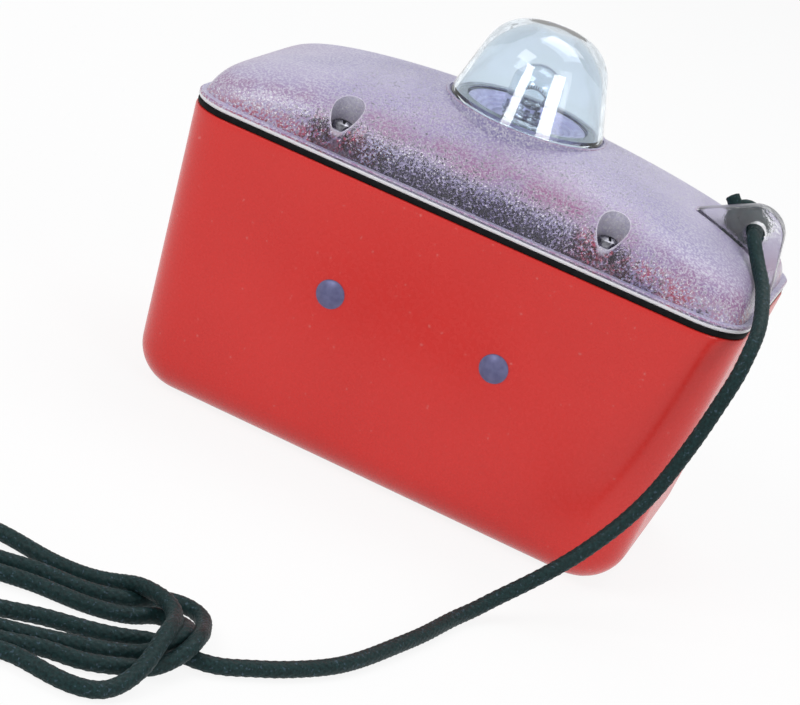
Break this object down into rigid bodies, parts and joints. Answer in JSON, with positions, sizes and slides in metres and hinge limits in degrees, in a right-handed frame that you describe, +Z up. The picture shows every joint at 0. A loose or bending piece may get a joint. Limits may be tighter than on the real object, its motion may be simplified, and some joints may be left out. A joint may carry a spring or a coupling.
{
  "type": "floating marker light",
  "caption": "Floating water-activated marker light: tapered red box, clear crowned lid with a lens over a bulb, front contacts and a lanyard through an eye on the lid.",
  "frame": {"origin": "middle of the flat base of the box", "axes": "+Z up through the lens, the front face with the contacts looks to -Y, the eye lug is at the +X end"},
  "size_m": [0.1505, 0.2301, 0.112],
  "materials": {
    "red_plastic": "satin moulded",
    "gasket_rubber": "matt",
    "frosted_clear": "textured clear plastic",
    "clear_lens": "polished clear plastic",
    "screw_steel": "plain",
    "contact_metal": "dull grey",
    "black_plastic": "moulded",
    "cell_jacket": "plain jacket",
    "reflector": "pale satin",
    "cap_brass": "plain",
    "bulb_glass": "clear",
    "cord_braid": "braided"
  },
  "bodies": {
    "root": {"box": "red_plastic", "gasket": "gasket_rubber", "lid": "frosted_clear", "lens": "clear_lens", "lid_screws": "screw_steel", "contact_left": "contact_metal", "contact_right": "contact_metal", "carrier": "black_plastic", "cells": "cell_jacket", "reflector": "reflector", "bulb_cap": "cap_brass", "bulb_glass": "bulb_glass", "cord_knot": "cord_braid", "cord_lead": "cord_braid", "cord_hank": "cord_braid", "cord_end_knot": "cord_braid"}
  },
  "joints": []
}
